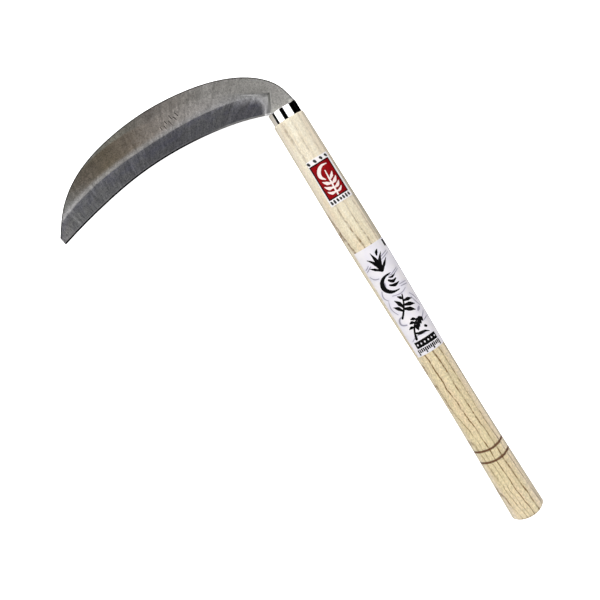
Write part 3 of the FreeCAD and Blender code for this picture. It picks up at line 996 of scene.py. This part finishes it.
def edge_marks(paint, at, colour):
    """A painted shadow along the spine, a bright fresh edge at the heel and a painted shade line along the
    edge beyond, and the nicks.
    """
    # a painted shadow along the rounded spine
    scale = paint.step(0.55, 1.15, at.spine, 0.95, 0.0)
    bright = paint.fall(1.1, 1.9, at.edge) * paint.step(0.16, 0.30, at.share, 0.8, 0.0)
    beyond_heel = paint.step(0.20, 0.42, at.share)
    burr = paint.step(1.0, 1.4, at.edge) * paint.fall(1.6, 2.2, at.edge) * beyond_heel
    nicked = paint.step(0.28, 0.70, at.nick, 0.95, 0.0)
    # the dark line along the edge beyond the heel is painted shade
    return paint.coat(colour, (scale, 30, 29, 27), (bright, 206, 205, 204), (burr * 0.45, 190, 190, 192),
                      (paint.fall(1.0, 1.5, at.edge) * beyond_heel, 24, 24, 26), (nicked, 34, 32, 30))


def steel_material():
    paint = Paint("ground_steel")
    where, length, edge, spine = paint.part("where")
    _, out, into, nick = paint.part("zone")
    place, x, _, _ = paint.place()
    at = SimpleNamespace(where=where, length=length, share=length / BLADE_REACH, edge=edge, spine=spine,
                         out=out, into=into, nick=nick, x=x)
    fine = paint.noise(place, 1.0, 2.0, 0.6)
    grain = paint.noise(place, 0.42, 2.0, 0.6)
    grind = paint.noise(where, (1.15, 0.09, 0.0), 2.0, 0.7)
    bevel = paint.fall(-0.5, 0.35, out / paint.step(22.0, 58.0, length, 3.4, 1.0))
    colour = paint.mix(bevel, upper_steel(paint, at), bevel_steel(paint, at, grind))
    lightness = paint.step(0.30, 0.70, fine, -0.23, 0.23) + paint.step(0.3, 0.7, grain, 0.88, 1.12)
    colour = paint.node("HueSaturation", 0, {"Value": lightness, "Color": colour})
    plunge = paint.step(-3.0, 0.5, out) * paint.fall(2.6, 5.2, out) * paint.fall(14.0, 24.0, length)
    colour = edge_marks(paint, at, heel_marks(paint, at, plunge, colour))

    smear = paint.noise(where, (0.5, 0.04, 0.0), 3.0, 0.6)
    rough = paint.step(0.3, 0.8, smear, -0.04, 0.05) + 0.35 + plunge * 0.16
    brushed = paint.noise(where, (0.15, 3.2, 0.0), 3.0, 0.6)
    height = grind * bevel + brushed * (1.0 - bevel)
    normal = paint.bump(height, 0.008, 0.5, paint.bump(fine, 0.012, 0.5))
    return paint.finish(Base_Color=colour, Metallic=1.0, Roughness=rough, Normal=normal)


# ---------------------------------------------------------------- wood
# Growth rings as seen on the upper face 80 mm from the butt: place across the handle less the
# sweep of the grain there, and how dark the ring's pores are.
GROWTH = [(-31.0, 0.5), (-27.0, 0.6), (-23.0, 0.4), (-19.0, 0.5), (-15.4, 0.45), (-10.5, 0.6), (-5.6, 0.85),
          (1.1, 1.0), (6.3, 0.65), (10.0, 0.5), (14.3, 0.6), (18.0, 0.8)]
GROWTH_SHIFT = -0.7
GROWTH_SWEEP = 2.5
PITH = (-46.0, -16.0)
SWEEP = 0.033  # the grain leans off the axis by this, and turns out further near the butt
SWEEP_END = (2.6, 28.0)
RING_RANGE = (20.0, 70.0)
FACE_HALF = (13.4, 10.9)  # the handle's section where the rings were read
FACE_LIMIT = 13.0


def growth_stops():
    """Each growth ring's place between the two radii of RING_RANGE."""
    low, high = RING_RANGE
    stops = []
    for offset, dark in GROWTH:
        y = abs(offset + GROWTH_SWEEP)
        rise = FACE_HALF[1] * math.sqrt(1 - (y / FACE_HALF[0]) ** 2) if y < FACE_LIMIT else 0.0
        radius = math.hypot(offset + GROWTH_SHIFT - PITH[0], rise - PITH[1])
        stops.append(((radius - low) / (high - low), dark))
    return stops


def growth_rings(paint, place, x, y, z):
    """Shells about a pith outside the handle: the phase within a ring, its number and its darkness."""
    wander = paint.noise(place, (0.022, 0.04, 0.04))
    jitter = paint.noise(place, (0.10, 0.10, 0.10))
    sweep = x * SWEEP - paint.math("EXPONENT", x / -SWEEP_END[1]) * SWEEP_END[0]
    across, up = y - sweep - PITH[0], z - PITH[1]
    radius = paint.math("SQRT", across * across + up * up)
    radius = radius + paint.step(0.0, 1.0, wander, -1.3, 1.3) + paint.step(0.0, 1.0, jitter, -0.55, 0.55)
    low, high = RING_RANGE
    share = (radius - low) / (high - low)
    stops = growth_stops()
    count = len(stops) + 1
    rising = [(0.0, grey(0.0))] + [(at, grey((k + 1) / count)) for k, (at, _) in enumerate(stops)]
    number = paint.ramp(share, rising + [(1.0, grey(1.0))]) * count
    dark = [(0.0, grey(0.4))] + [(at - 0.004, grey(weight)) for at, weight in stops]
    return paint.math("FRACT", number), paint.math("FLOOR", number), paint.ramp(share, dark, steady=True)


def burned(paint, place, x, z, colour):
    """The burned rings, uneven where the grain is open."""
    scorch = paint.noise(place, (0.9, 0.9, 0.9), 3.0, 0.7)
    uneven = (scorch - 0.5) * 2.3
    lift = z / FACE_HALF[1]
    bowed = x + lift * lift * RING_BOW
    one, two = [paint.fall(0.70, 1.30, abs(bowed - ring) + uneven) for ring in RING_X]
    char = paint.mix(paint.step(0.40, 0.75, scorch), rgb(80, 42, 18), rgb(126, 84, 48))
    return paint.mix(paint.math("MAXIMUM", one, two) * 0.95, colour, char)


def wood_material(name="ash_wood"):
    paint = Paint(name)
    place, x, y, z = paint.place()
    phase, number, weight = growth_rings(paint, place, x, y, z)

    # a pore band at the start of each ring, sharp on one side, and broken along its length
    band = paint.step(0.0, 0.05, phase) * paint.fall(0.12, 0.29, phase)
    offset = paint.node("CombineXYZ", 0, {1: number * 7.3})
    broken = paint.noise(paint.vector("ADD", paint.vector("MULTIPLY", place, (0.075, 0.0, 0.0)), offset), 1.0,
                         3.0, 0.65)
    crumbs = paint.noise(place, (0.42, 0.8, 0.8), 2.0, 0.6)
    lines = band * weight * paint.step(0.30, 0.60, broken, 0.3, 1.0)
    lines = lines * paint.step(0.36, 0.58, crumbs, 0.6, 1.35)
    pores = paint.step(0.50, 0.68, paint.noise(place, (0.35, 5.0, 5.0), 2.0, 0.6))
    fibre = paint.noise(place, (0.06, 1.3, 1.3), 4.0, 0.6)
    blotch = paint.noise(place, (0.02, 0.09, 0.09))
    pulp = paint.noise(place, 0.9, 3.0, 0.6)

    # pale ground, warmer towards the butt
    colour = paint.mix(paint.step(90.0, 385.0, x), rgb(222, 209, 172), rgb(242, 236, 219))
    plain = paint.step(230.0, 340.0, x, 1.0, 0.6)
    colour = paint.coat(
        colour, (paint.step(8.0, 40.0, x, 0.5, 0.0), 232, 220, 194),
        (paint.step(0.4, 0.75, blotch, 0.0, 0.5), 232, 204, 176),
        (paint.step(0.3, 0.75, fibre, 0.0, 0.5) * plain, 200, 181, 138),
        (paint.step(0.38, 0.68, pulp, 0.0, 0.5) * plain, 196, 180, 138),
        (paint.step(0.6, 1.0, phase) * 0.25, 204, 184, 146), (pores * (band * 0.6 + 0.14), 158, 130, 92))

    # flanks with painted light and shade, painted darker where they turn under, most on the side away from
    # the blade; then the ring lines
    # how strongly the painted shade line along the edge away from the blade is laid, along the handle
    flank_shade = paint.step(200.0, 262.0, x, 0.36, 0.62) - paint.step(300.0, 345.0, x, 0.0, 0.24)
    # the side away from the blade is painted lighter, partly paler sapwood and partly painted light; the edge
    # towards the blade is painted greyer as a painted sheen; both flanks are painted darker where they turn
    # under as painted shade; and a painted shade line runs along the edge away from the blade
    colour = paint.coat(
        colour, (paint.step(-6.5, -10.5, y, 0.0, 0.55), 240, 226, 204),
        (paint.step(10.5, 12.5, y, 0.0, 0.5), 230, 220, 202),
        (paint.step(3.0, 5.0, abs(z), 0.5, 0.0), 186, 172, 146),
        (paint.step(-10.7, -12.1, y) * flank_shade, 146, 138, 122),
        (lines * paint.step(235.0, 320.0, x, 1.0, 0.38), 112, 80, 38))
    speck = paint.step(0.28, 0.72, paint.noise(place, (0.62, 0.85, 0.85), 1.0), -0.16, 0.16)
    glint = speck * paint.step(170.0, 300.0, x, 1.0, 0.5) + 1.0
    colour = paint.node("HueSaturation", 0, {"Value": glint, "Color": colour})
    colour = burned(paint, place, x, z, colour)

    rough = paint.step(0.3, 0.8, fibre, 0.52, 0.66)
    normal = paint.bump(fibre * 0.5 - pores * band, 0.05, 0.6)
    return paint.finish(Base_Color=colour, Roughness=rough, Normal=normal, Specular_IOR_Level=0.35)


# ---------------------------------------------------------------- polished steel, pin and paper
def ferrule_material():
    paint = Paint("polished_ferrule")
    place, _, y, z = paint.place()
    drawn = paint.noise(place, (6.0, 0.4, 0.4), 3.0, 0.6)
    wave = paint.noise(place, (0.25, 0.12, 0.12), 1.0)
    rough = paint.step(0.35, 0.8, drawn, 0.045, 0.10)
    normal = paint.bump(wave, 0.02, 0.5, paint.bump(drawn, 0.0012, 0.3))
    tint = paint.mix(paint.step(0.4, 0.8, drawn, 0.0, 0.4), (0.88, 0.88, 0.89, 1.0), (0.80, 0.80, 0.82, 1.0))
    # painted reflection: the upper half of one flank is painted black, with a black specular tint, as a
    # reflection of a black card; the other flank is painted cream as a reflection of the wood
    painted_dark = paint.fall(-9.2, -8.6, y) * paint.step(-2.0, -1.2, z)
    tint = paint.mix(painted_dark, tint, (0.010, 0.010, 0.011, 1.0))
    # the specular tint is black where the dark reflection is painted
    rim = paint.mix(painted_dark, grey(1.0), grey(0.0))
    # painted reflection of the wood on the other flank
    tint = paint.coat(tint, (paint.step(9.4, 10.0, y, 0.0, 0.8), 206, 196, 180))
    return paint.finish(Base_Color=tint, Metallic=1.0, Roughness=rough, Normal=normal, Specular_Tint=rim)


def pin_material():
    paint = Paint("peened_pin")
    dent = paint.noise(paint.place()[0], 1.3, 3.0, 0.6)
    colour = paint.mix(paint.step(0.35, 0.7, dent), (0.32, 0.31, 0.30, 1.0), (0.50, 0.49, 0.47, 1.0))
    rough = paint.step(0.3, 0.7, dent, 0.35, 0.55)
    return paint.finish(Base_Color=colour, Metallic=1.0, Roughness=rough, Normal=paint.bump(dent, 0.05, 0.6))


def paper(paint):
    """Fibre, cloud and bump of pulp paper, the ragged edge of its print, and the printed distances."""
    place = paint.place()[0]
    fibre = paint.noise(place, 1.8, 4.0, 0.65)
    cloud = paint.noise(place, (0.06, 0.12, 0.12))
    rag = paint.step(0.3, 0.7, paint.noise(place, 1.1, 3.0, 0.7), -0.12, 0.14)
    return place, fibre, cloud, paint.bump(fibre, 0.012, 0.5), rag, paint.part("print")[1:]


def size_label_material():
    paint = Paint("printed_white_paper")
    _, fibre, cloud, normal, rag, (ink, faint, _) = paper(paint)
    black = paint.fall(-0.08, 0.08, ink + rag)
    colour = paint.coat(
        rgb(226, 223, 230), (paint.step(0.35, 0.7, cloud), 234, 230, 232),
        (paint.step(0.4, 0.8, fibre, 0.0, 0.3), 214, 210, 220),
        (paint.step(-0.1, 0.35, faint, 0.9, 0.0), 122, 121, 134),
        (paint.step(0.3, 2.6, faint, 0.22, 0.0), 196, 192, 212), (black, 5, 5, 6))
    rough = paint.step(0.0, 1.0, black, 0.55, 0.42)
    return paint.finish(Base_Color=colour, Roughness=rough, Normal=normal, Specular_IOR_Level=0.05)


def maker_label_material():
    paint = Paint("printed_red_paper")
    place, fibre, _, normal, rag, (field, emblem, dots) = paper(paint)
    white = paint.coat(rgb(240, 236, 236), (paint.step(0.4, 0.8, fibre, 0.0, 0.3), 222, 216, 218))
    blotch = paint.noise(place, 0.35, 3.0, 0.6)
    red = paint.coat(
        rgb(128, 3, 14), (paint.step(0.35, 0.65, blotch), 152, 6, 12),
        (paint.step(0.5, 0.75, fibre, 0.0, 0.45), 96, 4, 20), (paint.step(-1.3, -0.8, field), 20, 2, 4),
        (paint.step(0.05, 0.55, emblem, 0.75, 0.0), 90, 6, 16),
        (paint.fall(-0.08, 0.08, emblem + rag), 243, 226, 222))
    colour = paint.mix(paint.fall(-0.08, 0.08, field), white, red)
    colour = paint.coat(colour, (paint.step(-0.1, 0.1, dots + rag, 0.95, 0.0), 6, 8, 10))
    return paint.finish(Base_Color=colour, Roughness=0.42, Normal=normal, Specular_IOR_Level=0.05)


# ---------------------------------------------------------------- build
make_camera()
make_floor()
make_studio()
steel = steel_material()
for piece, material in (
        (make_blade(), steel), (make_tang(), steel), (make_handle(), wood_material()),
        (make_ferrule(), ferrule_material()), (make_wedge(), wood_material("wedge_hardwood")),
        (make_pin(), pin_material()), (make_size_label(), size_label_material()),
        (make_maker_label(), maker_label_material())):
    piece.data.materials.append(material)
